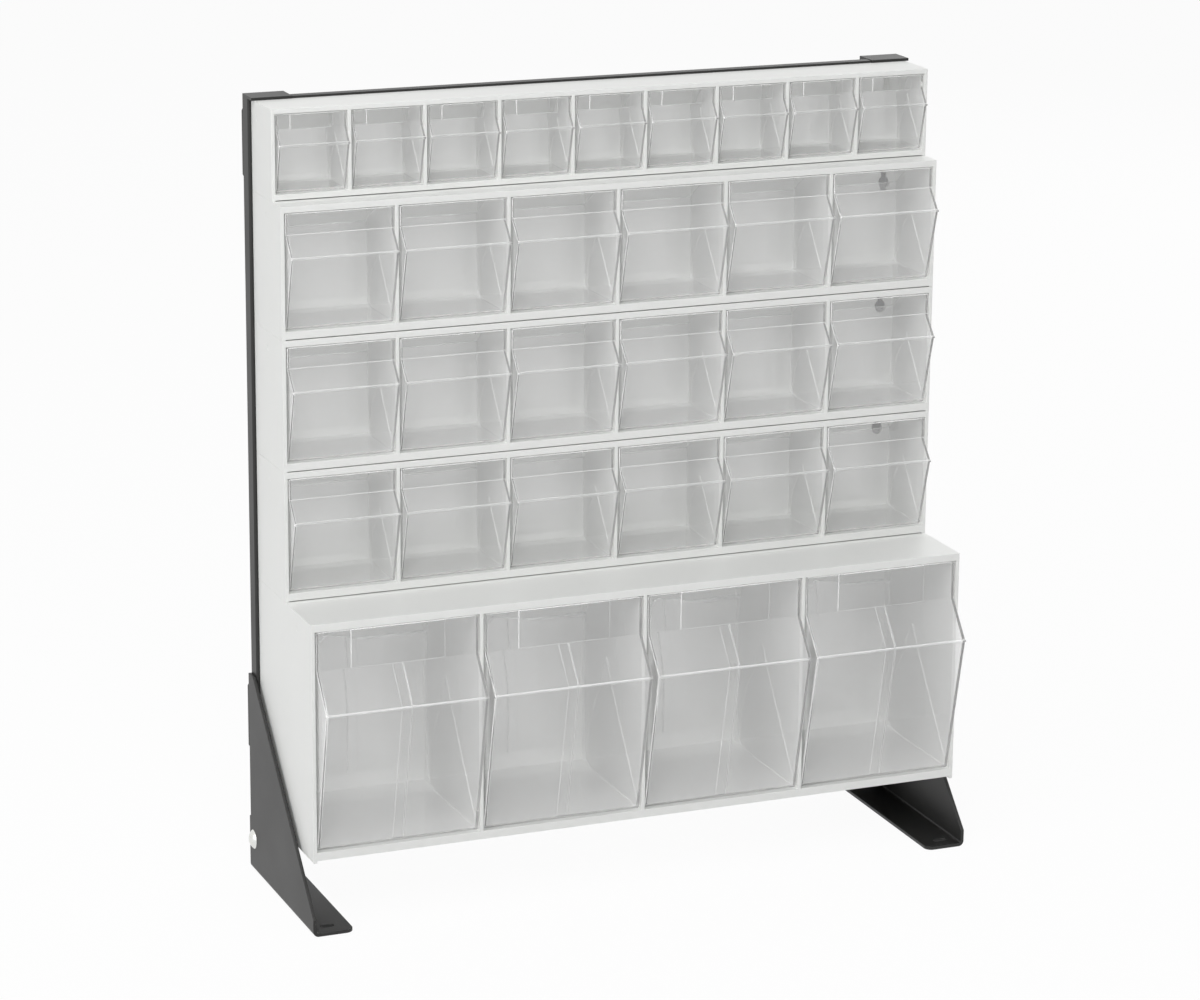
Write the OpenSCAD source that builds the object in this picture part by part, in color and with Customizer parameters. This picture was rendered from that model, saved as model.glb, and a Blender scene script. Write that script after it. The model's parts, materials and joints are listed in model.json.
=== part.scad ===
// Free-standing stand with five housings of clear tip-out bins.
// Millimetres, +Z up, the bins open towards -Y, the floor is at Z = 0.
// Three sizes of housing are used: small (nine bins), medium (six) and large (four).

/* [Housings] */
// Width of every housing
housing_w = 600; // [560:1:640]
// Height of the small housing
small_h = 77; // [72:1:84]
// Height of a medium housing
medium_h = 113; // [108:1:120]
// Height of the large housing
large_h = 210; // [200:1:222]
// Depth of the small housing
small_depth = 54; // [53:0.5:60]
// Depth of a medium housing
medium_depth = 76; // [74:0.5:84]
// Depth of the large housing
large_depth = 144; // [138:1:156]
// Height of the frame above the small bins
small_top_band = 4.1; // [3.5:0.1:6]
// Height of the frame below the small bins
small_bottom_band = 5.7; // [5:0.1:8]
// Height of the frame above the medium bins
medium_top_band = 5.4; // [3.5:0.1:7]
// Height of the frame below the medium bins
medium_bottom_band = 7.6; // [5:0.1:10]
// Height of the frame above the large bins
large_top_band = 6.6; // [3.5:0.1:9]
// Height of the frame below the large bins
large_bottom_band = 9.2; // [5:0.1:12]
// Thickness of the end walls
end_wall = 3.1; // [2.8:0.1:4]
// Thickness of the dividers between the bins
divider = 3.2; // [3:0.1:4]
// Thickness of the top, the floor and the back
panel = 2.5; // [2:0.1:3]
// Thickness of the frame's front bands, front to back
band_t = 3; // [2.5:0.1:4]
// Gap under the front band, so that a housing stands on its end walls
band_lift = 2; // [1:0.1:2.5]

/* [Tip-out bins] */
// Number of small bins in their housing
small_count = 9; // [8:1:10]
// Number of medium bins in each housing
medium_count = 6; // [5:1:7]
// Number of large bins in their housing
large_count = 4; // [3:1:5]
// How far the small bins' noses stand out of the housing
small_nose = 10; // [7:0.5:13]
// How far the medium bins' noses stand out
medium_nose = 16.3; // [12:0.1:20]
// How far the large bins' noses stand out
large_nose = 26.5; // [20:0.5:32]
// From the top of the opening down to a small bin's nose
small_nose_drop = 24.8; // [20:0.1:30]
// From the top of the opening down to a medium bin's nose
medium_nose_drop = 35.3; // [30:0.1:42]
// From the top of the opening down to a large bin's nose
large_nose_drop = 65.4; // [55:0.1:75]
// Height of the flat label plate on a small bin
small_plate_h = 13; // [11:0.5:15]
// Height of the flat label plate on a medium bin
medium_plate_h = 18.5; // [15:0.5:22]
// Height of the flat label plate on a large bin
large_plate_h = 34; // [30:0.5:40]
// Wall of a small bin
small_wall = 1.5; // [1.2:0.1:1.9]
// Wall of a medium bin
medium_wall = 1.8; // [1.4:0.1:2.2]
// Wall of a large bin
large_wall = 2.2; // [1.8:0.1:2.6]
// Radius of a small bin's rounded back edge
small_heel_r = 7; // [4:0.5:9]
// Radius of a medium bin's rounded back edge
medium_heel_r = 11; // [6:0.5:14]
// Radius of a large bin's rounded back edge
large_heel_r = 22; // [12:0.5:26]
// How far the nose's lip overhangs the front below it
lip_out = 2.2; // [1.5:0.1:3]
// Thickness of the nose's lip
lip_t = 1.8; // [1.4:0.1:2.4]

/* [Hinge and stop] */
// Tip-out angle of a bin, where its lugs meet the stop
tip_angle = 48; // [40:1:50]
// Depth of the hinge axis behind the housing's front
hinge_depth = 5.5; // [5:0.1:7]
// Height of the hinge axis over the opening's floor
hinge_h = 4; // [3.8:0.1:5]
// Radius of the hinge pins
pin_r = 2; // [1.6:0.1:2.2]
// Depth of a hinge pin in its bore
pin_seat = 1.2; // [1:0.05:1.3]
// Depth of a bore in an end wall
bore_depth = 1.6; // [1.5:0.1:2]
// Radius of a small bin's stop track, about the hinge
small_track_r = 41.5; // [40:0.5:42]
// Radius of a medium bin's stop track
medium_track_r = 60; // [57:0.5:61.5]
// Radius of a large bin's stop track
large_track_r = 120; // [112:1:126]
// Width of a track's rib
rib_w = 3; // [2:0.1:4]
// Height of a track's rib over the wall
rib_h = 0.8; // [0.5:0.1:0.85]
// Radius of the stop lugs on a bin's sides
lug_r = 2.6; // [2:0.1:3]

/* [Clearances] */
// Gap between a bin and the wall beside it
side_gap = 1.2; // [1.15:0.05:1.6]
// Gap under a closed bin
floor_gap = 0.5; // [0.4:0.1:0.8]
// Gap over a closed bin's front plate
top_gap = 0.8; // [0.5:0.1:1.2]
// Gap between a tipping bin's back and the frame above it
sweep_gap = 2.5; // [1.5:0.1:4]
// Radial clearance of the hinge pins
pin_play = 0.05; // [0.02:0.01:0.1]
// Gap between a lug and the wall, and between a lug and the stop
lug_gap = 0.3; // [0.25:0.05:0.4]

/* [Label frames and slots] */
// How far label frames stand out of the plate
frame_raise = 0.9; // [0.5:0.1:1.2]
// Width of a small bin's label frame
small_frame_w = 37; // [30:0.5:42]
// Width of a small label frame's border
small_border = 1.4; // [1:0.1:2]
// Width of a large bin's label frame
large_frame_w = 83; // [70:1:90]
// Width of a large label frame's border
large_border = 4.5; // [3:0.1:6]
// Width of the corner pads of a medium bin
pad_w = 15.5; // [12:0.5:18]
// Height of the corner pads
pad_h = 17.3; // [12:0.1:17.5]
// Thickness of the ledge between the corner pads
ledge_t = 1.2; // [0.8:0.1:2]
// Width of one rib of a large bin's divider slot
slot_rib_w = 3.2; // [2:0.1:4]
// Depth of those ribs
slot_rib_d = 1.6; // [1:0.1:2.5]
// Gap between those ribs, for the divider
slot_gap = 2.6; // [2:0.1:3]

/* [Stand] */
// Height of the large housing's underside above the floor
stand_gap = 60; // [45:1:80]
// Width of an upright
upright_w = 36; // [32:1:40]
// Depth of an upright
upright_d = 15; // [13:0.5:20]
// How far an upright stands out past the housings' ends
upright_out = 3; // [1:0.5:6]
// Thickness of the uprights' sheet steel
upright_t = 2; // [1.5:0.1:2.4]
// Thickness of the upright's top plate
cap_t = 2.5; // [2:0.1:4]
// How far the top plates reach forward over the top housing
cap_reach = 10; // [6:0.5:16]
// Height of a cross rail
rail_h = 59; // [50:1:66]
// Thickness of a cross rail
rail_t = 3; // [2:0.5:4]
// From the stand's top down to the upper cross rail
upper_rail_drop = 10; // [6:1:20]
// Height of the lower cross rail's underside
lower_rail_z = 112; // [95:1:118]
// How far the top rail reaches forward over the top housing
top_rail_reach = 9; // [5:0.5:14]
// Height of the top rail's upright leg
top_rail_leg = 22; // [15:1:40]
// Thickness of the top rail
top_rail_t = 2; // [1.5:0.1:2.4]

/* [Feet] */
// Length of a foot in front of the housings' backs
foot_reach = 159; // [150:1:175]
// Height of a foot
foot_h = 181; // [175:1:195]
// Height of a foot's upright front edge
foot_nose_h = 15; // [10:0.5:22]
// Width of a foot's narrow top
foot_top_w = 12; // [10:0.5:14]
// Width of the flange that stands on the floor
flange_w = 36.5; // [30:0.5:46]
// Thickness of the feet's sheet steel
foot_t = 3; // [2:0.1:4]
// Inner radius of the bend between a foot's plate and its flange
foot_bend = 2; // [1:0.5:4]
// Radius of the flange's front corner
flange_r = 7; // [4:0.5:10]
// Length of the floor slot
slot_l = 12; // [9:0.5:16]
// Width of the floor slot
slot_w = 6; // [4:0.5:7]
// From the foot's front end back to the slot
slot_back = 14.5; // [12:0.5:25]
// From the foot's outer face in to the slot
slot_in = 17; // [12:0.5:20]
// Height of the tab that wraps behind the upright
tab_h = 46; // [42:1:60]
// Length of that tab
tab_w = 30; // [20:1:34]

/* [Fasteners] */
// Height of the foot bolt
bolt_z = 30; // [24:1:34]
// Radius of the foot bolt's shank
bolt_r = 3; // [2.5:0.5:3]
// Radius of the foot bolt's domed head
dome_r = 8.5; // [6:0.5:9]
// Height of the domed head
dome_h = 4; // [3:0.5:6]
// Thickness of the nut
nut_h = 5; // [4:0.5:6]
// Width of the nut across its flats
nut_w = 10; // [9:0.5:10]
// Clearance of a bolt or a screw in its hole
bolt_play = 0.3; // [0.1:0.1:0.4]
// Radius of a housing screw's shank
screw_r = 2.5; // [2:0.1:2.6]
// Radius of a housing screw's head
head_r = 4.6; // [4:0.1:5]
// Thickness of that head
head_h = 2.6; // [2:0.1:2.8]
// How far a screw comes out behind the upright's web
screw_out = 4; // [2:0.5:8]
// Radius of a keyhole's round end
keyhole_r = 5.3; // [5.2:0.1:6]
// From a keyhole's round end up to its screw
keyhole_l = 13; // [11:0.5:15]
// From the top of the opening down to the screw in a small housing
small_screw_drop = 15; // [12:0.5:18]
// From the top of the opening down to the screw in the others
screw_drop = 14; // [12:0.5:20]

/* [Hidden] */
$fn = 48;
eps = 0.1; // overlap that fuses two features of one piece
far = 400; // longer than any cut needs to be

// Values by size of housing: 0 small, 1 medium, 2 large
SMALL = 0;
MEDIUM = 1;
LARGE = 2;
heights = [small_h, medium_h, large_h];
depths = [small_depth, medium_depth, large_depth];
top_bands = [small_top_band, medium_top_band, large_top_band];
bottom_bands = [small_bottom_band, medium_bottom_band, large_bottom_band];
counts = [small_count, medium_count, large_count];
noses = [small_nose, medium_nose, large_nose];
nose_drops = [small_nose_drop, medium_nose_drop, large_nose_drop];
plate_hs = [small_plate_h, medium_plate_h, large_plate_h];
walls = [small_wall, medium_wall, large_wall];
heel_rs = [small_heel_r, medium_heel_r, large_heel_r];
track_rs = [small_track_r, medium_track_r, large_track_r];
screw_drops = [small_screw_drop, screw_drop, screw_drop];

// Rows from the bottom up: name and size
rows = [["bottom", LARGE], ["lower", MEDIUM], ["middle", MEDIUM], ["upper", MEDIUM], ["top", SMALL]];
function size_of(r) = rows[r][1];
function row_z(r) = r == 0 ? stand_gap : row_z(r - 1) + heights[size_of(r - 1)];
stand_top = row_z(len(rows) - 1) + heights[size_of(len(rows) - 1)];

// The housings' backs share one plane, and the whole depth is centred on Y = 0
back_y = (large_depth + large_nose - upright_d - rail_t) / 2;
function front_y(r) = back_y - depths[size_of(r)];

// Cells: the spaces between the walls, one bin in each
function cell_w(k) = (housing_w - 2 * end_wall + divider) / counts[k] - divider;
function cell_x(k, i) = -housing_w / 2 + end_wall + i * (cell_w(k) + divider);
function cell_h(k) = heights[k] - top_bands[k] - bottom_bands[k];
function bin_w(k) = cell_w(k) - 2 * side_gap;

// Side outline of a bin, Y into the housing from its front and Z up from the cell's floor
plate_y = 0.3; // the label plate lies just behind the frame's front
toe_r = hinge_h - floor_gap;
function sweep_r(k) = cell_h(k) - hinge_h - sweep_gap;
function heel_y(k) = hinge_depth + track_rs[k] + heel_past;
function nose_z(k) = cell_h(k) - nose_drops[k];
function plate_top(k) = cell_h(k) - top_gap;
function plate_foot(k) = cell_h(k) - plate_hs[k];
function back_h(k) = hinge_h + sqrt(pow(sweep_r(k), 2) - pow(heel_y(k) - hinge_depth, 2));

// Lugs run inside the track and meet its radial rib at the tip-out angle
heel_past = 1; // the bins' backs lie just behind the track's middle
lug_h = side_gap - lug_gap;
lug_off = lug_r + rib_w / 2 + lug_gap;
function lug_reach(k) = track_rs[k] - lug_off;
function lug_z(k) = floor_gap + heel_rs[k]
    - sqrt(pow(heel_rs[k] - lug_r - lug_gap, 2) - pow(max(0, heel_rs[k] - lug_off - heel_past), 2));
function lug_angle(k) = asin((lug_z(k) - hinge_h) / lug_reach(k));
function stop_angle(k) = tip_angle + lug_angle(k) + asin(lug_off / lug_reach(k));

// Uprights and feet
upright_x = housing_w / 2 + upright_out; // outer face
upright_mid = upright_x - upright_w / 2;
rail_y = back_y + upright_d;
foot_x = upright_x + foot_t; // outer face
bolt_y = back_y + upright_d / 2;
foot_y = back_y - foot_reach; // front end
bend_out = foot_bend + foot_t;
upright_z = bend_out; // the uprights stand clear of the feet's bends
dimple_back = 39; // sink dimples on the end walls: behind the front, and below the top
dimple_drop = 14;
dimple_r = 2.5;
dimple_deep = 0.4;

row_bins = [for (r = [len(rows) - 1:-1:0]) for (i = [1:counts[size_of(r)]]) str(rows[r][0], "_bin_", i)];

// Points of a bent wall's inner face: the corner at b, a distance t to the right of a-b-c
function unit(v) = v / norm(v);
function right_of(v) = [v[1], -v[0]];
function mitre(a, b, c, t) =
    let (n = right_of(unit(b - a)), m = unit(n + right_of(unit(c - b)))) b + m * t / (m * n);

// The bent front of a bin as a path: along the floor, up to the nose and on to the label plate
function front_path(k) =
    let (
        toe = [hinge_depth - toe_r, hinge_h],
        nose = [lip_out - noses[k], nose_z(k)],
        slope = (toe[0] - nose[0]) / (nose[1] - toe[1]))
    [[heel_y(k), floor_gap],
     [toe[0] + slope * (hinge_h - floor_gap), floor_gap],
     nose,
     [plate_y, plate_foot(k)],
     [plate_y, far]];
function inner_front(k, t) = [for (i = [1:3]) let (p = front_path(k)) mitre(p[i - 1], p[i], p[i + 1], t)];

// Extrudes a side outline along X
module along_x(w) {
    rotate([90, 0, 90]) linear_extrude(height = w) children();
}

// Extrudes a front outline from y to y + d
module along_y(y, d) {
    translate([0, y + d, 0]) rotate([90, 0, 0]) linear_extrude(height = d) children();
}

// Round end of the bin's floor, of which r is the radius of the back edge
module heel(k, inset) {
    r = heel_rs[k] - inset;
    translate([heel_y(k) - heel_rs[k], floor_gap + heel_rs[k]]) circle(r = r);
}

// Solid side outline of a bin: it stays inside a circle about the hinge, so that it can tip
module bin_outline(k) {
    n = noses[k];
    z = nose_z(k);
    heel_r = heel_rs[k];
    intersection() {
        translate([hinge_depth, hinge_h]) circle(r = sweep_r(k), $fn = 96);
        union() {
            polygon([
                [hinge_depth - toe_r, hinge_h],
                [lip_out - n, z - lip_t],
                [-n, z - lip_t],
                [-n, z],
                [plate_y, plate_foot(k)],
                [plate_y, far],
                [heel_y(k), far],
                [heel_y(k), floor_gap + heel_r],
                [heel_y(k) - heel_r, floor_gap],
                [hinge_depth, floor_gap]]);
            translate([hinge_depth, hinge_h]) circle(r = toe_r);
            heel(k, 0);
        }
    }
    translate([plate_y, plate_foot(k)]) square([walls[k], plate_top(k) - plate_foot(k)]);
}

// Hollow of a bin, open at the top
module bin_hollow(k) {
    t = walls[k];
    heel_r = heel_rs[k];
    polygon(concat(
        inner_front(k, t),
        [[plate_y + t, far],
         [heel_y(k) - t, far],
         [heel_y(k) - t, floor_gap + heel_r],
         [heel_y(k) - heel_r, floor_gap + t]]));
    heel(k, t);
}

// Raised label frame: a U round the label's place, open at the top
module label_frame(k, w, border) {
    z = plate_foot(k);
    h = plate_top(k) - z;
    along_y(plate_y - frame_raise, frame_raise + eps) difference() {
        translate([(bin_w(k) - w) / 2, z]) square([w, h]);
        translate([(bin_w(k) - w) / 2 + border, z + border]) square([w - 2 * border, h]);
    }
}

// Corner pads of a medium bin, and the ledge between them that carries the label
module label_pads(k) {
    z = plate_top(k) - pad_h;
    along_y(plate_y - frame_raise, frame_raise + eps) {
        for (x = [0, bin_w(k) - pad_w]) translate([x, z]) square([pad_w, pad_h]);
        translate([pad_w - eps, z + 2 * ledge_t]) square([bin_w(k) - 2 * pad_w + 2 * eps, ledge_t]);
    }
}

// Two pairs of ribs inside a large bin that hold a divider plate: on its front and on its back
module divider_slot(k) {
    t = walls[k];
    front = inner_front(k, t - eps);
    ribs = inner_front(k, t + slot_rib_d);
    end = 2 * unit(front[1] - front[2]); // the ribs stop just below the label plate
    sunk = floor_gap + t - 2 * eps;
    for (side = [0, 1]) {
        x = bin_w(k) / 2 - slot_gap / 2 - slot_rib_w + side * (slot_gap + slot_rib_w);
        translate([x, 0, 0]) along_x(slot_rib_w) {
            polygon([[front[0][0], sunk], front[1], front[2] + end, ribs[2] + end, ribs[1], ribs[0],
                [ribs[0][0], sunk]]);
            translate([heel_y(k) - t - slot_rib_d, floor_gap + heel_rs[k] + 1])
                square([slot_rib_d + eps, back_h(k) - floor_gap - heel_rs[k] - 4]);
        }
    }
}

// Hinge pins and stop lugs, on both sides of a bin
module pins_and_lugs(k) {
    for (side = [0, 1]) translate([side * bin_w(k), 0, 0]) mirror([side, 0, 0]) {
        translate([-side_gap - pin_seat, hinge_depth, hinge_h]) rotate([0, 90, 0])
            cylinder(r = pin_r, h = side_gap + pin_seat + eps);
        translate([-lug_h, hinge_depth + lug_reach(k) * cos(lug_angle(k)), lug_z(k)]) rotate([0, 90, 0])
            cylinder(r = lug_r, h = lug_h + eps);
    }
}

// One moulded bin, with its left side at X = 0 and the housing's front at Y = 0
module bin_body(k) {
    difference() {
        union() {
            along_x(bin_w(k)) bin_outline(k);
            if (k == SMALL) label_frame(k, small_frame_w, small_border);
            if (k == MEDIUM) label_pads(k);
            if (k == LARGE) label_frame(k, large_frame_w, large_border);
        }
        translate([walls[k], 0, 0]) along_x(bin_w(k) - 2 * walls[k]) bin_hollow(k);
    }
    if (k == LARGE) divider_slot(k);
    pins_and_lugs(k);
}

module tip_out_bin(r, i) {
    k = size_of(r);
    color([0.86, 0.88, 0.88, 0.5])
        translate([cell_x(k, i) + side_gap, front_y(r), row_z(r) + bottom_bands[k]]) bin_body(k);
}

// Stop track on a cell's wall: an arc about the hinge, closed by a radial rib
module track_outline(k) {
    r = track_rs[k];
    a = stop_angle(k);
    hub = toe_r + rib_w; // the radial rib starts clear of the hinge bore
    intersection() {
        difference() {
            circle(r = r + rib_w / 2, $fn = 96);
            circle(r = r - rib_w / 2, $fn = 96);
        }
        polygon([[0, 0], [far, -far], [far, -hinge_h - eps], [far, 0], far * [cos(a), sin(a)]]);
        translate([0, -hinge_h - eps]) square(far);
    }
    rotate(a) translate([hub, -rib_w / 2]) square([r + rib_w / 2 - hub, rib_w]);
}

// Keyhole in the back: a round end that passes the screw's head and a neck above it
module keyhole_outline() {
    neck_r = screw_r + bolt_play;
    circle(r = neck_r);
    translate([-neck_r, -keyhole_l]) square([2 * neck_r, keyhole_l]);
    translate([0, -keyhole_l]) circle(r = keyhole_r);
}

// What is cut out of a housing for one bin: its cell, the ceiling's pocket and the pocket underneath
module cell_cuts(k) {
    w = cell_w(k);
    inner_d = depths[k] - panel;
    translate([0, -eps, bottom_bands[k]]) cube([w, inner_d + eps, cell_h(k)]);
    translate([0, band_t, bottom_bands[k]]) cube([w, inner_d - band_t, heights[k] - bottom_bands[k] - panel]);
    translate([0, band_t, -eps]) cube([w, inner_d - band_t, bottom_bands[k] - panel + eps]);
}

module housing(r) {
    k = size_of(r);
    w = housing_w;
    z0 = bottom_bands[k];
    color([0.93, 0.93, 0.92]) translate([0, front_y(r), row_z(r)]) {
        difference() {
            translate([-w / 2, 0, 0]) cube([w, depths[k], heights[k]]);
            for (i = [0:counts[k] - 1]) translate([cell_x(k, i), 0, 0]) cell_cuts(k);
            // shallow gap under the front band and the dividers
            translate([-w / 2 + end_wall, -eps, -eps])
                cube([w - 2 * end_wall, depths[k] - panel + eps, band_lift + eps]);
            // keyholes at the uprights
            for (s = [-1, 1]) along_y(depths[k] - panel - eps, panel + 2 * eps)
                translate([s * upright_mid, z0 + cell_h(k) - screw_drops[k]]) keyhole_outline();
            // hinge bores: through the dividers, blind in the end walls
            for (i = [1:counts[k] - 1]) translate([cell_x(k, i) - divider - eps, hinge_depth, z0 + hinge_h])
                rotate([0, 90, 0]) cylinder(r = pin_r + pin_play, h = divider + 2 * eps);
            for (s = [0, 1]) mirror([s, 0, 0])
                translate([-w / 2 + end_wall - bore_depth, hinge_depth, z0 + hinge_h])
                    rotate([0, 90, 0]) cylinder(r = pin_r + pin_play, h = bore_depth + eps);
            // sink dimples on the end walls
            for (s = [0, 1]) mirror([s, 0, 0])
                translate([-w / 2 - eps, dimple_back, heights[k] - dimple_drop])
                    rotate([0, 90, 0]) cylinder(r = dimple_r, h = dimple_deep + eps);
        }
        for (i = [0:counts[k] - 1]) for (x = [cell_x(k, i) - eps, cell_x(k, i) + cell_w(k) - rib_h])
            translate([x, hinge_depth, z0 + hinge_h]) along_x(rib_h + eps) track_outline(k);
    }
}

// Upright: a channel with its web against the housings, closed by a plate over the top housing
module upright() {
    r = upright_t;
    color([0.24, 0.24, 0.235]) difference() {
        union() {
            translate([upright_mid, back_y, upright_z]) linear_extrude(height = stand_top - upright_z)
                difference() {
                    union() {
                        translate([-upright_w / 2 + r, 0]) square([upright_w - 2 * r, r]);
                        translate([-upright_w / 2, r]) square([upright_w, upright_d - r]);
                        for (s = [-1, 1]) translate([s * (upright_w / 2 - r), r]) circle(r = r);
                    }
                    translate([-upright_w / 2 + r, r]) square([upright_w - 2 * r, upright_d]);
                }
            translate([upright_mid - upright_w / 2, back_y - cap_reach, stand_top])
                cube([upright_w, cap_reach + upright_d, cap_t]);
        }
        for (row = [0:len(rows) - 1]) translate([upright_mid, back_y - eps, screw_z(row)]) rotate([-90, 0, 0])
            cylinder(r = screw_r + pin_play, h = upright_t + 2 * eps);
        translate([upright_x - upright_t - eps, bolt_y, bolt_z]) rotate([0, 90, 0])
            cylinder(r = bolt_r + bolt_play, h = upright_t + 2 * eps);
    }
}
function screw_z(r) =
    let (k = size_of(r)) row_z(r) + bottom_bands[k] + cell_h(k) - screw_drops[k];

// Angle between the uprights: one leg behind the top housing, one leg over it
module top_rail() {
    t = top_rail_t;
    w = 2 * (upright_x - upright_w);
    color([0.24, 0.24, 0.235]) translate([-w / 2, back_y, 0]) along_x(w) {
        translate([-top_rail_reach, stand_top]) square([top_rail_reach, t]);
        translate([0, stand_top - top_rail_leg]) square([t, top_rail_leg]);
        translate([0, stand_top]) intersection() {
            circle(r = t);
            square(t);
        }
    }
}

// Flat rail across the backs of the uprights
module cross_rail(x, z) {
    r = 3;
    color([0.24, 0.24, 0.235]) along_y(rail_y, rail_t) {
        translate([-x + r, z]) square([2 * (x - r), rail_h]);
        translate([-x, z + r]) square([2 * x, rail_h - 2 * r]);
        for (sx = [-1, 1]) for (dz = [r, rail_h - r]) translate([sx * (x - r), z + dz]) circle(r = r);
    }
}
module upper_cross_rail() cross_rail(upright_x, stand_top - upper_rail_drop - rail_h);
module lower_cross_rail() cross_rail(foot_x, lower_rail_z);

// Side outline of a foot's plate above the bend, with a tab behind the upright at its lower back
module foot_outline() {
    polygon([
        [foot_y, bend_out - eps], [foot_y, foot_nose_h], [rail_y - foot_top_w, foot_h], [rail_y, foot_h],
        [rail_y, foot_t + tab_h], [rail_y + rail_t, foot_t + tab_h], [rail_y + rail_t, bend_out - eps]]);
}

// Floor flange, seen from above, with a rounded front corner and the slot for a floor screw
module flange_outline() {
    length = rail_y + rail_t - foot_y;
    r = flange_r;
    difference() {
        union() {
            translate([foot_x - flange_w + r, foot_y]) square([flange_w - r - bend_out + eps, length]);
            translate([foot_x - flange_w, foot_y + r]) square([r + eps, length - r]);
            translate([foot_x - flange_w + r, foot_y + r]) circle(r = r);
        }
        translate([foot_x - slot_in, foot_y + slot_back]) {
            for (s = [-1, 1]) translate([s * (slot_l - slot_w) / 2, 0]) circle(r = slot_w / 2);
            translate([-(slot_l - slot_w) / 2, -slot_w / 2]) square([slot_l - slot_w, slot_w]);
        }
    }
}

// Foot: one bent sheet, a side plate with the floor flange and the tab turned inwards
module foot() {
    t = foot_t;
    color([0.27, 0.27, 0.26]) difference() {
        union() {
            translate([foot_x - t, 0, 0]) along_x(t) foot_outline();
            linear_extrude(height = t) flange_outline();
            along_y(foot_y, rail_y + rail_t - foot_y) translate([foot_x - bend_out, bend_out]) intersection() {
                difference() {
                    circle(r = bend_out);
                    circle(r = foot_bend);
                }
                translate([0, -bend_out]) square(bend_out);
            }
            translate([foot_x - tab_w, rail_y, t + foot_bend]) cube([tab_w, rail_t, tab_h - foot_bend]);
        }
        translate([foot_x - t - eps, bolt_y, bolt_z]) rotate([0, 90, 0])
            cylinder(r = bolt_r + bolt_play, h = t + 2 * eps);
    }
}

// Domed bolt through the foot and the upright's outer side
module foot_bolt() {
    shank = foot_t + upright_t + nut_h + 1;
    ball_r = (dome_r * dome_r + dome_h * dome_h) / (2 * dome_h);
    translate([foot_x, bolt_y, bolt_z]) rotate([0, 90, 0]) {
        translate([0, 0, -shank]) cylinder(r = bolt_r, h = shank + eps);
        rotate_extrude() intersection() {
            translate([0, dome_h - ball_r]) circle(r = ball_r, $fn = 96);
            square([dome_r, dome_h]);
        }
    }
}

// Hexagon nut inside the channel
module foot_nut() {
    translate([upright_x - upright_t - nut_h, bolt_y, bolt_z]) rotate([0, 90, 0]) difference() {
        cylinder(r = nut_w / 2 / cos(30), h = nut_h, $fn = 6);
        translate([0, 0, -eps]) cylinder(r = bolt_r + pin_play, h = nut_h + 2 * eps);
    }
}

// Pan-head screw that holds a housing to an upright
module housing_screw() {
    shank = panel + upright_t + screw_out;
    rotate([-90, 0, 0]) {
        cylinder(r = screw_r, h = shank);
        translate([0, 0, -head_h]) cylinder(r1 = head_r - 0.8, r2 = head_r, h = head_h);
    }
}

module foot_bolts() color([0.78, 0.78, 0.76]) for (s = [0, 1]) mirror([s, 0, 0]) foot_bolt();
module foot_nuts() color([0.78, 0.78, 0.76]) for (s = [0, 1]) mirror([s, 0, 0]) foot_nut();
module housing_screws() color([0.78, 0.78, 0.76])
    for (r = [0:len(rows) - 1]) for (s = [-1, 1])
        translate([s * upright_mid, back_y - panel, screw_z(r)]) housing_screw();
module left_upright() mirror([1, 0, 0]) upright();
module right_upright() upright();
module left_foot() mirror([1, 0, 0]) foot();
module right_foot() foot();

for (r = [0:len(rows) - 1]) {
    housing(r);
    for (i = [1:counts[size_of(r)]])
        tip_out_bin(r, i - 1);
}
left_upright();
right_upright();
top_rail();
upper_cross_rail();
lower_cross_rail();
left_foot();
right_foot();
foot_bolts();
foot_nuts();
housing_screws();
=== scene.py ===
"""Free-standing parts bin cabinet: white housings of clear tip-out bins on a black steel stand."""
import json
import math

import bpy
from mathutils import Matrix, Vector


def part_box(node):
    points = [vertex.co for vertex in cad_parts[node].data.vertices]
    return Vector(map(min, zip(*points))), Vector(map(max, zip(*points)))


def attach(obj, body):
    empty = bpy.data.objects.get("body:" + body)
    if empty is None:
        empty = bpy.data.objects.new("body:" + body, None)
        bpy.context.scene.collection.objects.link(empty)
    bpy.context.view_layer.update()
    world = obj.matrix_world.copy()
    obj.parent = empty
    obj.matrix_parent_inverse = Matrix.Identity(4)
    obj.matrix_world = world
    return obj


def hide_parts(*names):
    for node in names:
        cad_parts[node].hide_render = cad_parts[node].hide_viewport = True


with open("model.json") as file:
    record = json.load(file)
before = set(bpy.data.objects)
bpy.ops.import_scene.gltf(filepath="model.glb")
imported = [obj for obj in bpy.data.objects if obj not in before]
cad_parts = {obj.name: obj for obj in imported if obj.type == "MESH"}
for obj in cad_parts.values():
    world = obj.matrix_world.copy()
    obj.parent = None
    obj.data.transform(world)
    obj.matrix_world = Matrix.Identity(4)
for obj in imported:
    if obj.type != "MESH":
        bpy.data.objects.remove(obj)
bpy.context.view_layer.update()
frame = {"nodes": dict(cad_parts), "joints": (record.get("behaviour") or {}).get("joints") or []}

# ---------------------------------------------------------------------------
# Uprights and rails: two channels bent from 2 mm sheet steel, each with a plate welded on top that
# reaches over the top housing, an angle between their tops and two flat rails across their backs.
# Punched, bent, welded, and then powder coated black.
# ---------------------------------------------------------------------------
MM = 0.001
sheet_edge = 0.3  # mm; punched edges, rounded off by the coat
weld = 0.002  # mm; points nearer than this are one
eased_from = math.radians(40)  # corners sharper than this are rounded
smooth_to = math.radians(35)  # and bends softer than this look smooth
flat_within = math.radians(0.5)


def srgb(code):
    """Linear colour of an sRGB hex code such as #2b2b2a."""
    parts = [int(code[i:i + 2], 16) / 255 for i in (1, 3, 5)]
    return [p / 12.92 if p <= 0.04045 else ((p + 0.055) / 1.055) ** 2.4 for p in parts] + [1]


def cells(width):
    """Scale of a pattern whose cells are a width in mm across."""
    return 1 / (width * MM)


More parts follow.
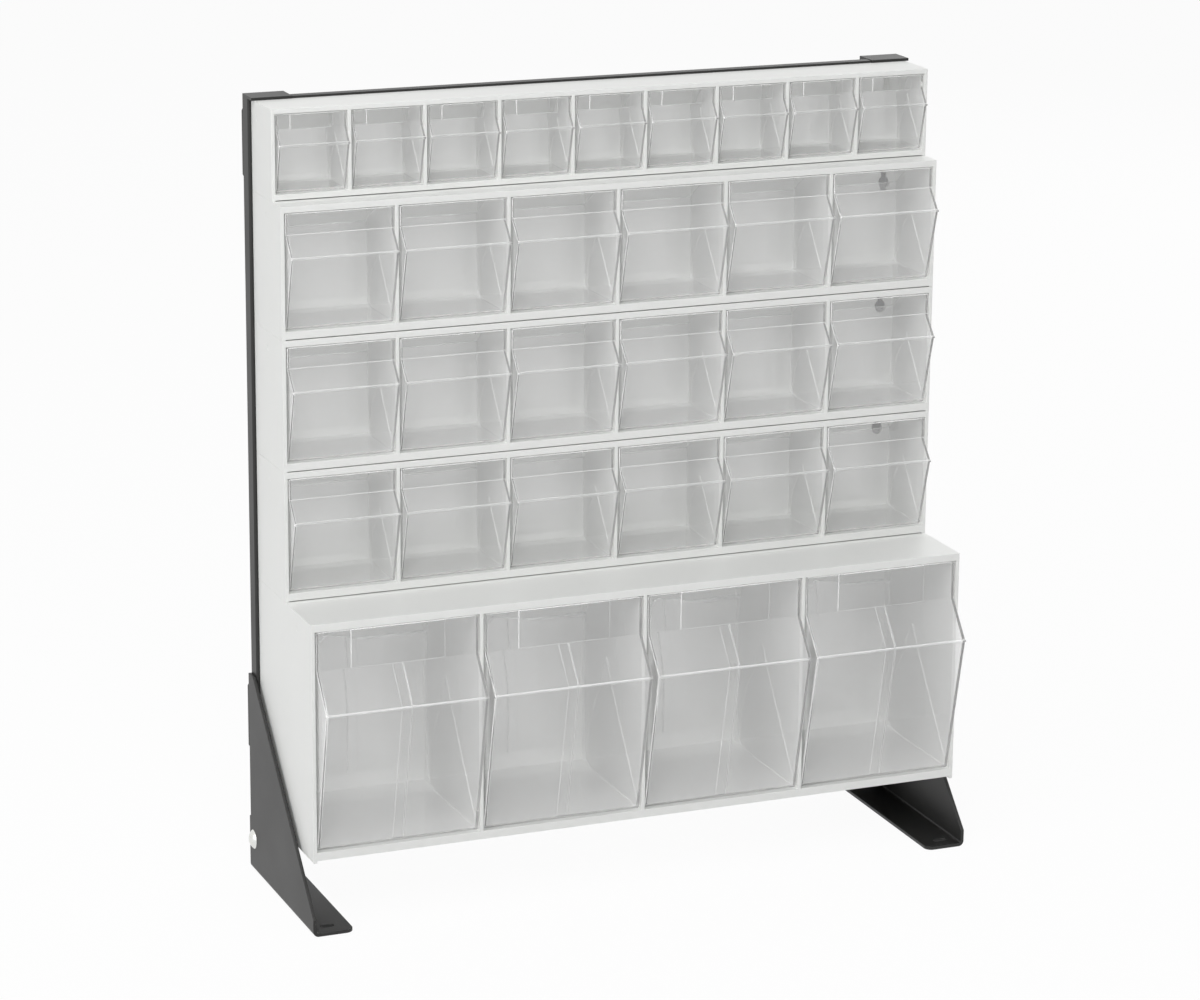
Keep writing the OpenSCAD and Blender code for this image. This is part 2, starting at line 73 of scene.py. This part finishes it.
def add_node(tree, kind, values=None, links=None, **settings):
    """Adds a node to a material's tree with its settings, socket values and incoming links."""
    node = tree.nodes.new(kind)
    for name, value in settings.items():
        setattr(node, name, value)
    for name, value in (values or {}).items():
        node.inputs[name].default_value = value
    for name, source in (links or {}).items():
        tree.links.new(source, node.inputs[name])
    return node


def begin_material(name):
    """Starts a material, and gives its node tree, its shader and the place that patterns read."""
    material = bpy.data.materials.new(name)
    material.use_nodes = True
    tree = material.node_tree
    place = add_node(tree, "ShaderNodeTexCoord").outputs["Object"]
    return material, tree, tree.nodes["Principled BSDF"], place


def select_only(*pieces):
    """Selects these pieces and nothing else, the first of them active."""
    bpy.ops.object.select_all(action="DESELECT")
    for piece in pieces:
        piece.select_set(True)
    bpy.context.view_layer.objects.active = pieces[0]


def ease_edges(piece, width, edge_slot=-1):
    """Rounds a piece's sharp edges by a width in mm, and keeps its flat faces flat to the eye."""
    select_only(piece)
    ease = piece.modifiers.new("eased_edges", "BEVEL")
    ease.width = width * MM
    ease.segments = 2
    ease.limit_method = "ANGLE"
    ease.angle_limit = eased_from
    ease.use_clamp_overlap = False
    ease.material = edge_slot
    bpy.ops.object.modifier_apply(modifier=ease.name)
    bpy.ops.object.shade_smooth_by_angle(angle=smooth_to)
    level = piece.modifiers.new("flat_faces", "WEIGHTED_NORMAL")
    level.keep_sharp = True
    bpy.ops.object.modifier_apply(modifier=level.name)


def merged_copy(name):
    """Copies a CAD solid and joins its loose triangles into whole faces."""
    piece = bpy.data.objects.new(name + "_piece", frame["nodes"][name].data.copy())
    bpy.context.scene.collection.objects.link(piece)
    select_only(piece)
    bpy.ops.object.mode_set(mode="EDIT")
    bpy.ops.mesh.select_all(action="SELECT")
    bpy.ops.mesh.remove_doubles(threshold=weld * MM)
    bpy.ops.mesh.dissolve_limited(angle_limit=flat_within)
    bpy.ops.object.mode_set(mode="OBJECT")
    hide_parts(name)
    return piece


def soften(name, width):
    """Copies a CAD solid with its edges rounded by a width in mm."""
    piece = merged_copy(name)
    ease_edges(piece, width)
    return piece


def fit(piece, body, material):
    """Gives a piece its material, and lets it ride on a body."""
    piece.data.materials.clear()
    piece.data.materials.append(material)
    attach(piece, body)


# Powder-coated steel: near black and half matt, greyed by the pale light it mirrors at a slant
powder_coat, tree, shader, place = begin_material("powder_coated_steel")
shader.inputs["IOR"].default_value = 1.45
# orange peel where the powder melted: the real cells are about 0.8 mm, drawn at 2 mm to show
peel = add_node(tree, "ShaderNodeTexNoise", {"Scale": cells(2), "Detail": 2}, {"Vector": place})
bump = add_node(tree, "ShaderNodeBump", {"Strength": 0.15, "Distance": 0.2 * MM},
                {"Height": peel.outputs["Fac"]})
tree.links.new(bump.outputs["Normal"], shader.inputs["Normal"])
# handling leaves patches about 60 mm across that are a little duller and greyer
patches = add_node(tree, "ShaderNodeTexNoise", {"Scale": cells(62.5), "Detail": 4},
                   {"Vector": place}).outputs["Fac"]
dull = add_node(tree, "ShaderNodeMapRange", {"To Min": 0.36, "To Max": 0.5}, {"Value": patches})
tree.links.new(dull.outputs["Result"], shader.inputs["Roughness"])
coat = add_node(tree, "ShaderNodeValToRGB", None, {"Fac": patches})
coat.color_ramp.elements[0].color = srgb("#1c1c1b")
coat.color_ramp.elements[1].color = srgb("#262625")
tree.links.new(coat.outputs["Color"], shader.inputs["Base Color"])

for name in ("left_upright", "right_upright", "top_rail", "lower_cross_rail", "upper_cross_rail"):
    fit(soften(name, sheet_edge), "stand", powder_coat)

# ---------------------------------------------------------------------------
# Feet: one sheet of 3 mm steel each, bent into a side plate, a slotted floor flange and a tab that
# turns in behind the upright. Powder coated with the uprights and bolted to their outer sides.
# ---------------------------------------------------------------------------
foot_edge = 0.45
for name in ("left_foot", "right_foot"):
    fit(soften(name, foot_edge), "stand", powder_coat)

# ---------------------------------------------------------------------------
# Foot bolts and nuts: M6 domed bolts from outside, with hexagon nuts inside the channels.
# Cold-headed steel with rolled threads, zinc plated.
# ---------------------------------------------------------------------------
bolt_face, bolt_y, bolt_z = 306, 83.75, 30  # where a bolt's head meets the foot
bolt_r, bolt_l, bolt_end = 3, 11, 0.1  # the end is bevelled a little
dome_r, dome_h, dome_steps = 8.5, 4, 8
thread_from, thread_pitch, thread_deep, thread_stop = 4.5, 1, 0.4, 0.5
turn_steps, nut_edge = 48, 0.3


def join_copies(shape, name, spots):
    """Puts a copy of a shape at each spot, joins them into one named piece, and drops the shape."""
    copies = []
    for spot in spots:
        copy = bpy.data.objects.new(name, shape.data.copy())
        bpy.context.scene.collection.objects.link(copy)
        copy.data.transform(spot)
        copies.append(copy)
    bpy.data.objects.remove(shape)
    select_only(*copies)
    bpy.ops.object.join()
    return copies[0]


# Zinc plate: a bright soft metal, whose passivation leaves a faint blue and straw tint
zinc, tree, shader, place = begin_material("zinc_plated_steel")
shader.inputs["Metallic"].default_value = 1
# the tint drifts over about 5 mm
tint = add_node(tree, "ShaderNodeTexNoise", {"Scale": cells(5), "Detail": 2},
                {"Vector": place}).outputs["Fac"]
plate = add_node(tree, "ShaderNodeValToRGB", None, {"Fac": tint})
plate.color_ramp.elements[0].color = srgb("#dfe3e4")
plate.color_ramp.elements[1].color = srgb("#e6e4dc")
tree.links.new(plate.outputs["Color"], shader.inputs["Base Color"])
# plating grain of a third of a millimetre breaks up the gloss
grain = add_node(tree, "ShaderNodeTexNoise", {"Scale": cells(1 / 3)}, {"Vector": place})
gloss = add_node(tree, "ShaderNodeMapRange", {"To Min": 0.2, "To Max": 0.4},
                 {"Value": grain.outputs["Fac"]})
tree.links.new(gloss.outputs["Result"], shader.inputs["Roughness"])

# a bolt's half outline, from the middle of the dome round to the middle of its end
ball = (dome_r ** 2 + dome_h ** 2) / (2 * dome_h)
outline = []
for i in range(dome_steps + 1):
    a = math.asin(dome_r / ball) * i / dome_steps
    outline.append((ball * math.sin(a), dome_h - ball + ball * math.cos(a)))
outline += [(bolt_r, 0), (bolt_r, -thread_from)]
depth = thread_from
while depth + thread_pitch < bolt_l - thread_stop:
    outline += [(bolt_r - thread_deep, -depth - thread_pitch / 2), (bolt_r, -depth - thread_pitch)]
    depth += thread_pitch
outline += [(bolt_r - thread_deep - bolt_end, -bolt_l), (0, -bolt_l)]
# the outline is spun about Z
bpy.ops.object.select_all(action="DESELECT")
bpy.ops.mesh.primitive_circle_add(vertices=len(outline), radius=10 * MM)
bolt = bpy.context.object
for vertex, (r, z) in zip(bolt.data.vertices, outline):
    vertex.co = Vector((r, 0, z)) * MM
bpy.ops.object.mode_set(mode="EDIT")
bpy.ops.mesh.select_all(action="SELECT")
bpy.ops.mesh.spin(steps=turn_steps, angle=2 * math.pi, center=(0, 0, 0), axis=(0, 0, 1))
bpy.ops.mesh.select_all(action="SELECT")
bpy.ops.mesh.remove_doubles(threshold=weld * MM)
bpy.ops.mesh.normals_make_consistent(inside=False)
bpy.ops.object.mode_set(mode="OBJECT")
bpy.ops.object.shade_smooth_by_angle(angle=smooth_to)

bolts = join_copies(bolt, "domed_foot_bolts", [
    Matrix.Translation(Vector((side * bolt_face, bolt_y, bolt_z)) * MM)
    @ Matrix.Rotation(math.radians(90 * side), 4, "Y") for side in (-1, 1)])
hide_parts("foot_bolts")
fit(bolts, "stand", zinc)
fit(soften("foot_nuts", nut_edge), "stand", zinc)

# ---------------------------------------------------------------------------
# Housings: five boxes that stack on each other, open at the front, with dividers, stop tracks and
# hinge bores inside. Injection moulded from white high-impact polystyrene in one piece each.
# ---------------------------------------------------------------------------
moulded_edge = 0.35
band_lift, seen_gap = 2, 0.9  # the gap under a front band in the solids, and as thin as it looks

# White styrene: opaque and satin, with a fine texture from the mould
white_styrene, tree, shader, place = begin_material("white_moulded_styrene")
shader.inputs["IOR"].default_value = 1.55
# where the plastic flowed in, its white drifts a little over about 80 mm
flow = add_node(tree, "ShaderNodeTexNoise", {"Scale": cells(250 / 3), "Detail": 3},
                {"Vector": place}).outputs["Fac"]
pale = add_node(tree, "ShaderNodeValToRGB", None, {"Fac": flow})
pale.color_ramp.elements[0].color = srgb("#edeeec")
pale.color_ramp.elements[1].color = srgb("#f2f3f1")
tree.links.new(pale.outputs["Color"], shader.inputs["Base Color"])
satin = add_node(tree, "ShaderNodeMapRange", {"To Min": 0.38, "To Max": 0.48}, {"Value": flow})
tree.links.new(satin.outputs["Result"], shader.inputs["Roughness"])
# spark-eroded mould texture: grains of about 0.2 mm, drawn at 1 mm so that they show
grain = add_node(tree, "ShaderNodeTexNoise", {"Scale": cells(1), "Detail": 1}, {"Vector": place})
bump = add_node(tree, "ShaderNodeBump", {"Strength": 0.06, "Distance": 0.1 * MM},
                {"Height": grain.outputs["Fac"]})
tree.links.new(bump.outputs["Normal"], shader.inputs["Normal"])

for name in ("bottom_housing", "lower_housing", "middle_housing", "upper_housing", "top_housing"):
    piece = merged_copy(name)
    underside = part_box(name)[0][2] + band_lift * MM
    # a housing that stands on another one gets the thinner gap
    if name != "bottom_housing":
        for vertex in piece.data.vertices:
            if abs(vertex.co.z - underside) < 0.01 * MM:
                vertex.co.z -= (band_lift - seen_gap) * MM
    ease_edges(piece, moulded_edge)
    fit(piece, "stand", white_styrene)

# ---------------------------------------------------------------------------
# Housing screws: a pan-head screw with a cross recess at each keyhole, through the housing's back
# into the upright's web. Steel, cold headed, thread rolled and zinc plated.
# ---------------------------------------------------------------------------
screw_x, screw_y = 285, 73.75  # the heads seat on the inside of the back
screw_heights = (249.4, 363.6, 476.6, 589.6, 666.9)
head_r, head_h, crown_r, crown_drop, head_edge = 4.6, 2.6, 3.7, 1.0, 0.12
recess_half, recess_reach, recess_deep = 0.55, 2.3, 1.2
shank_r, shank_l, plain_l, tip_taper = 2.5, 8.5, 3, 0.8
screw_pitch, screw_turns, thread_waist = 1, 5, 0.84


def pick(shape, test):
    """In edit mode, selects the faces whose centre in mm and normal pass the test."""
    bpy.ops.mesh.select_all(action="DESELECT")
    bpy.ops.object.mode_set(mode="OBJECT")
    for face in shape.data.polygons:
        face.select = test(face.center / MM, face.normal)
    bpy.ops.object.mode_set(mode="EDIT")


def cut(shape, test, point, normal):
    """Cuts the faces that pass the test along a plane through a point in mm."""
    pick(shape, test)
    bpy.ops.mesh.bisect(plane_co=Vector(point) * MM, plane_no=normal)


def push_out(x, y, z):
    """Extrudes the selected faces by a way in mm."""
    bpy.ops.mesh.extrude_region_move(TRANSFORM_OT_translate={"value": Vector((x, y, z)) * MM})


def crown(c, n):
    """The flat middle of a screw's head."""
    return n.z < -0.99 and c.z < 0.1 - head_h


# the head, towards -Z, with its rim sloping down from the crown
bpy.ops.object.select_all(action="DESELECT")
bpy.ops.mesh.primitive_cylinder_add(vertices=turn_steps, radius=head_r * MM, depth=head_h * MM,
                                    location=(0, 0, -head_h / 2 * MM))
screw = bpy.context.object
bpy.ops.object.transform_apply()
bpy.ops.object.mode_set(mode="EDIT")
pick(screw, lambda c, n: n.z < -0.9)
bpy.ops.mesh.inset(thickness=(head_r - crown_r) * MM)
bpy.ops.object.mode_set(mode="OBJECT")
for vertex in screw.data.vertices:
    off_axis = math.hypot(vertex.co.x, vertex.co.y)
    if vertex.co.z < -0.5 * head_h * MM and off_axis > (crown_r + 0.1) * MM:
        vertex.co.z += crown_drop * MM
# the cross recess
bpy.ops.object.mode_set(mode="EDIT")
for reach in (-recess_reach, -recess_half, recess_half, recess_reach):
    for way in ((1, 0, 0), (0, 1, 0)):
        cut(screw, crown, Vector(way) * reach, way)
pick(screw, lambda c, n: crown(c, n) and max(abs(c.x), abs(c.y)) < recess_reach
     and min(abs(c.x), abs(c.y)) < recess_half)
push_out(0, 0, recess_deep)
# the shank, towards +Z, with its thread and tip
pick(screw, lambda c, n: n.z > 0.99 and c.z > -0.1)
bpy.ops.mesh.inset(thickness=(head_r - shank_r) * MM)
push_out(0, 0, plain_l)
for turn in range(screw_turns):
    for scale in (thread_waist, 1 / thread_waist):
        push_out(0, 0, screw_pitch / 2)
        bpy.ops.transform.resize(value=(scale, scale, 1))
push_out(0, 0, shank_l - plain_l - screw_turns * screw_pitch)
bpy.ops.transform.resize(value=(tip_taper, tip_taper, 1))
bpy.ops.object.mode_set(mode="OBJECT")
ease_edges(screw, head_edge)

# each was driven home at an angle of its own, for which its height is read as radians
screws = join_copies(screw, "pan_head_screws", [
    Matrix.Translation(Vector((side * screw_x, screw_y, height)) * MM)
    @ Matrix.Rotation(math.radians(-90), 4, "X") @ Matrix.Rotation(height, 4, "Z")
    for side in (-1, 1) for height in screw_heights])
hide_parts("housing_screws")
fit(screws, "stand", zinc)

# ---------------------------------------------------------------------------
# Tip-out bins: clear hoppers with a label plate over a nose, a lip to pull at and a rounded back
# that lets them swing. Injection moulded from clear polystyrene; pins on the sides snap into the
# housing's bores, and lugs near the back stop the swing on the housing's tracks.
# ---------------------------------------------------------------------------
# sizes in mm; the outline starts at the front of the housing (Y 0) and the floor of the cell (Z 0)
bin_sizes = {
    "small": dict(wide=60.733, nose=10, nose_z=42.4, plate_foot=54.2, plate_top=66.4, wall=1.5,
                  heel_r=7, heel=48, sweep=60.7, edge=0.3, track=41.5),
    "medium": dict(wide=93.9, nose=16.3, nose_z=64.7, plate_foot=81.5, plate_top=99.2, wall=1.8,
                   heel_r=11, heel=66.5, sweep=93.5, edge=0.4, track=60),
    "large": dict(wide=143.65, nose=26.5, nose_z=128.8, plate_foot=160.2, plate_top=193.4, wall=2.2,
                  heel_r=22, heel=126.5, sweep=187.7, edge=0.5, track=120),
}
plate_y, hinge_y, hinge_z, toe_r = 0.3, 5.5, 4, 3.5
lip_out, lip_t, floor_gap, raised_by = 2.2, 1.8, 0.5, 0.9
rim_from, rim_steps = math.radians(87), 12  # the rim starts this far round the hinge
round_step, round_points = 15, 7  # degrees; seven points make a quarter round
label_frames = {"small": (37, 1.4), "large": (83, 4.5)}  # width and border of the U
pad_w, pad_h, ledge_t = 15.5, 17.3, 1.2  # corner pads of a medium bin and the ledge between them
slot_half, slot_rib, slot_deep = 1.3, 3.2, 1.6  # a large bin's ribs for a divider
pin_r, pin_l, knob_sides = 2, 2.4, 12
lug_r, lug_l, lug_in, lug_gap, heel_past = 2.6, 0.9, 4.4, 0.3, 1  # lug_in from the track's middle
haze_per_mm, edge_through = 0.06, 0.5


def clear_styrene(name, through):
    """Clear styrene that passes a share of the light at each face and scatters the rest."""
    clear, tree, shader, place = begin_material(name)
    shader.inputs["IOR"].default_value = 1.57
    shader.inputs["Transmission Weight"].default_value = through
    # the slight swirl, about 25 mm across, that the melt leaves in a thin wall
    swirl = add_node(tree, "ShaderNodeTexNoise", {"Scale": cells(25), "Detail": 2, "Distortion": 1},
                     {"Vector": place}).outputs["Fac"]
    tint = add_node(tree, "ShaderNodeValToRGB", None, {"Fac": swirl})
    tint.color_ramp.elements[0].color = srgb("#fdfdfd")
    tint.color_ramp.elements[1].color = srgb("#fefefe")
    tree.links.new(tint.outputs["Color"], shader.inputs["Base Color"])
    haze = add_node(tree, "ShaderNodeMapRange", {"To Min": 0.02, "To Max": 0.07}, {"Value": swirl})
    tree.links.new(haze.outputs["Result"], shader.inputs["Roughness"])
    # the walls shrink a little unevenly, in the same waves
    wave = add_node(tree, "ShaderNodeBump", {"Strength": 0.25, "Distance": 0.3 * MM},
                    {"Height": swirl})
    tree.links.new(wave.outputs["Normal"], shader.inputs["Normal"])
    # light from a lamp, a white wall or a mirroring face passes straight through, so that the
    # bins' many walls don't darken each other
    path = add_node(tree, "ShaderNodeLightPath")
    passing = add_node(tree, "ShaderNodeBsdfTransparent", {"Color": srgb("#fefefe")})
    surface = tree.nodes["Material Output"].inputs["Surface"]
    for ray in ("Is Reflection Ray", "Is Shadow Ray"):
        mix = add_node(tree, "ShaderNodeMixShader", None,
                       {0: path.outputs[ray], 1: surface.links[0].from_socket, 2: passing.outputs[0]})
        tree.links.new(mix.outputs[0], surface)
    return clear


# Clear styrene is glossy. The thicker its wall, the milkier it looks, and its edges gather the
# light that the walls carry, so they look whitish.
edge_styrene = clear_styrene("clear_styrene_edges", edge_through)
shapes = {}
for kind, size in bin_sizes.items():
    half, wall, heel, heel_r = size["wide"] / 2, size["wall"], size["heel"], size["heel_r"]
    nose_z, plate_foot, plate_top = size["nose_z"], size["plate_foot"], size["plate_top"]
    nose_y = lip_out - size["nose"]
    rim_z = hinge_z + math.sqrt(size["sweep"] ** 2 - (heel - hinge_y) ** 2)
    # the side outline: plate, rim about the hinge, back, rounded heel, rounded toe, nose and lip
    outline = [(plate_y, plate_top)]
    low = math.atan2(rim_z - hinge_z, heel - hinge_y)
    for i in range(rim_steps + 1):
        a = rim_from + (low - rim_from) * i / rim_steps
        outline.append((hinge_y + size["sweep"] * math.cos(a), hinge_z + size["sweep"] * math.sin(a)))
    for i in range(round_points):
        a = -math.radians(round_step * i)
        outline.append((heel - heel_r * (1 - math.cos(a)), floor_gap + heel_r * (1 + math.sin(a))))
    for i in range(round_points):
        a = math.radians(270 - round_step * i)
        outline.append((hinge_y + toe_r * math.cos(a), hinge_z + toe_r * math.sin(a)))
    outline += [(nose_y, nose_z - lip_t), (nose_y, nose_z), (plate_y, plate_foot)]

    # the outline is filled, pulled out to the bin's width, opened at the top and given its wall
    bpy.ops.object.select_all(action="DESELECT")
    bpy.ops.mesh.primitive_circle_add(vertices=len(outline), radius=100 * MM, fill_type="NGON")
    shape = bpy.context.object
    for vertex, (y, z) in zip(shape.data.vertices, outline):
        vertex.co = Vector((-half, y, z)) * MM
    bpy.ops.object.mode_set(mode="EDIT")
    bpy.ops.mesh.select_all(action="SELECT")
    push_out(size["wide"], 0, 0)
    bpy.ops.mesh.select_all(action="SELECT")
    bpy.ops.mesh.normals_make_consistent(inside=False)
    pick(shape, lambda c, n: n.z > 0.05 and abs(n.x) < 0.1 and c.z > rim_z - 1 and c.y > plate_y)
    bpy.ops.mesh.delete(type="FACE")
    bpy.ops.object.mode_set(mode="OBJECT")
    skin = shape.modifiers.new("wall", "SOLIDIFY")
    skin.thickness = wall * MM
    skin.offset = -1
    skin.use_even_offset = True
    bpy.ops.object.modifier_apply(modifier=skin.name)

    # the lip on the nose
    bpy.ops.object.mode_set(mode="EDIT")
    pick(shape, lambda c, n: n.y < -0.9 and c.y < nose_y + 0.1
         and abs(c.z - nose_z + lip_t / 2) < 0.3)
    push_out(0, -lip_out, 0)

    def on_plate(c, n):
        return n.y < -0.9 and c.z > plate_foot - 0.1 and abs(c.y - plate_y) < 0.05

    # what is raised on the label plate: corner pads with a ledge, or a U that holds a label
    if kind == "medium":
        pad_z = plate_top - pad_h
        for x in (pad_w - half, half - pad_w):
            cut(shape, on_plate, (x, 0, 0), (1, 0, 0))
        for z in (pad_z, pad_z + 2 * ledge_t, pad_z + 3 * ledge_t):
            cut(shape, on_plate, (0, 0, z), (0, 0, 1))
        pick(shape, lambda c, n: on_plate(c, n) and c.z > pad_z
             and (abs(c.x) > half - pad_w or 2 * ledge_t < c.z - pad_z < 3 * ledge_t))
    else:
        u_half, border = label_frames[kind][0] / 2, label_frames[kind][1]
        for x in (-u_half, border - u_half, u_half - border, u_half):
            cut(shape, on_plate, (x, 0, 0), (1, 0, 0))
        cut(shape, on_plate, (0, 0, plate_foot + border), (0, 0, 1))
        pick(shape, lambda c, n: on_plate(c, n) and abs(c.x) < u_half
             and (abs(c.x) > u_half - border or c.z < plate_foot + border))
    push_out(0, -raised_by, 0)

    # two pairs of ribs hold a large bin's divider
    if kind == "large":
        def inner_front(c, n):
            return n.y > 0.3 and abs(n.x) < 0.1 and hinge_z < c.z < plate_foot and c.y < hinge_y

        def inner_back(c, n):
            return n.y < -0.9 and c.y > heel - wall - 0.3 and c.z > heel_r

        for wall_side in (inner_front, inner_back):
            for x in (-slot_half - slot_rib, -slot_half, slot_half, slot_half + slot_rib):
                cut(shape, wall_side, (x, 0, 0), (1, 0, 0))
        pick(shape, lambda c, n: (inner_front(c, n) or inner_back(c, n))
             and slot_half < abs(c.x) < slot_half + slot_rib)
        bpy.ops.mesh.extrude_region_shrink_fatten(
            TRANSFORM_OT_shrink_fatten={"value": slot_deep * MM, "use_even_offset": True})

    # hinge pins and stop lugs: round patches of the sides, cut out by planes and pulled out
    lug_reach = size["track"] - lug_in
    lug_z = floor_gap + heel_r - math.sqrt(
        (heel_r - lug_r - lug_gap) ** 2 - max(0, heel_r - lug_in - heel_past) ** 2)
    lug_y = hinge_y + lug_reach * math.cos(math.asin((lug_z - hinge_z) / lug_reach))
    for side in (-1, 1):
        for y, z, r, long in ((hinge_y, hinge_z, pin_r, pin_l), (lug_y, lug_z, lug_r, lug_l)):
            def on_side(c, n, within):
                return (n.x * side > 0.9 and c.x * side > half - 0.1
                        and math.hypot(c.y - y, c.z - z) < within * r)

            for step in range(knob_sides):
                a = math.radians(360 / knob_sides * step)
                way = Vector((0, math.cos(a), math.sin(a)))
                cut(shape, lambda c, n: on_side(c, n, 6), Vector((0, y, z)) + way * r, way)
            pick(shape, lambda c, n: on_side(c, n, 0.5))
            push_out(side * long, 0, 0)
    bpy.ops.object.mode_set(mode="OBJECT")
    walls = clear_styrene("clear_styrene_" + kind + "_bin", 1 - haze_per_mm * wall)
    shape.data.materials.append(walls)
    shape.data.materials.append(edge_styrene)
    ease_edges(shape, size["edge"], edge_slot=1)
    shapes[kind] = shape

for joint in frame["joints"]:
    name = joint["child"]
    kind = {"top": "small", "bottom": "large"}.get(name.split("_")[0], "medium")
    piece = bpy.data.objects.new(name + "_piece", shapes[kind].data.copy())
    bpy.context.scene.collection.objects.link(piece)
    hinge = Vector((0, hinge_y, hinge_z)) * MM
    piece.data.transform(Matrix.Translation(Vector(joint["pos_m"]) - hinge))
    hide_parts(name)
    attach(piece, name)
for shape in shapes.values():
    bpy.data.objects.remove(shape)

# ---------------------------------------------------------------------------
# Stage: a pale paper floor that keeps the object's soft shadow, with white all round it,
# and four large soft lamps.
# ---------------------------------------------------------------------------
floor_share = 0.95  # how much of the floor is seen as plain white; the rest shows the shadow


def seen_plainly(tree):
    """Is 1 for the rays that show the white: from the eye, off gloss and through clear walls."""
    path = add_node(tree, "ShaderNodeLightPath").outputs
    seen = path["Is Camera Ray"]
    for ray in ("Is Glossy Ray", "Is Transmission Ray"):
        either = add_node(tree, "ShaderNodeMath", None, {0: seen, 1: path[ray]}, operation="MAXIMUM")
        seen = either.outputs[0]
    return seen


bpy.ops.object.select_all(action="DESELECT")
bpy.ops.mesh.primitive_plane_add(size=30, location=(0, 4, 0))
floor = bpy.context.object
floor.name = "floor"
paper = bpy.data.materials.new("pale_floor")
paper.use_nodes = True
tree = paper.node_tree
shader = tree.nodes["Principled BSDF"]
shader.inputs["Base Color"].default_value = srgb("#f4f4f4")
shader.inputs["Roughness"].default_value = 0.9
glow = add_node(tree, "ShaderNodeEmission", {"Color": (1, 1, 1, 1), "Strength": 1})
share = add_node(tree, "ShaderNodeMath", {1: floor_share}, {0: seen_plainly(tree)},
                 operation="MULTIPLY")
mix = add_node(tree, "ShaderNodeMixShader", None,
               {0: share.outputs[0], 1: shader.outputs[0], 2: glow.outputs[0]})
tree.links.new(mix.outputs[0], tree.nodes["Material Output"].inputs["Surface"])
floor.data.materials.append(paper)

world = bpy.data.worlds.new("studio")
bpy.context.scene.world = world
world.use_nodes = True
tree = world.node_tree
around = tree.nodes["Background"]
around.inputs["Color"].default_value = (1, 1, 1, 1)
around.inputs["Strength"].default_value = 0.2
backdrop = add_node(tree, "ShaderNodeBackground", {"Color": (1, 1, 1, 1), "Strength": 1})
mix = add_node(tree, "ShaderNodeMixShader", None,
               {0: seen_plainly(tree), 1: around.outputs[0], 2: backdrop.outputs[0]})
tree.links.new(mix.outputs[0], tree.nodes["World Output"].inputs["Surface"])

lamps = (  # place and size in metres, and power in watts
    ("side", (-3.2, -0.7, 1.3), 2.0, 28),
    ("front", (-1.0, -2.4, 2.7), 1.8, 52),
    ("top", (-1.0, -0.7, 3.1), 1.6, 22),
    ("fill", (2.6, 1.9, 1.8), 2.4, 26),
)
lit_middle = Vector((0, 0, 0.35))
for name, spot, size, power in lamps:
    lamp = bpy.data.lights.new(name, "AREA")
    lamp.size = size
    lamp.energy = power
    lamp_object = bpy.data.objects.new(name, lamp)
    bpy.context.scene.collection.objects.link(lamp_object)
    lamp_object.location = spot
    lamp_object.rotation_euler = (lit_middle - Vector(spot)).to_track_quat("-Z", "Y").to_euler()

# ---------------------------------------------------------------------------
# Camera: at the photograph's viewing angle, fitted to the corners of the housings in it,
# with no shift, so that other views stay in the frame.
# ---------------------------------------------------------------------------
photo_width, focal = 1200, 4002.46  # pixels
aim, distance = Vector((-0.01669, -0.00375, 0.33309)), 3.45089  # metres
turn, rise, roll = math.radians(-22.29), math.radians(15.73), math.radians(0.48)
ahead = Vector((-math.sin(turn) * math.cos(rise), math.cos(turn) * math.cos(rise),
                -math.sin(rise)))
right = ahead.cross(Vector((0, 0, 1))).normalized()
up = right.cross(ahead)
right, up = (math.cos(roll) * right + math.sin(roll) * up,
             math.cos(roll) * up - math.sin(roll) * right)
lens = bpy.data.cameras.new("camera")
lens.sensor_width = 36
lens.lens = focal / photo_width * lens.sensor_width
lens.clip_end = 100
camera = bpy.data.objects.new("camera", lens)
bpy.context.scene.collection.objects.link(camera)
camera.matrix_world = (Matrix.Translation(aim - ahead * distance)
                       @ Matrix((right, up, -ahead)).transposed().to_4x4())
bpy.context.scene.camera = camera

bpy.context.scene.view_settings.view_transform = "Standard"
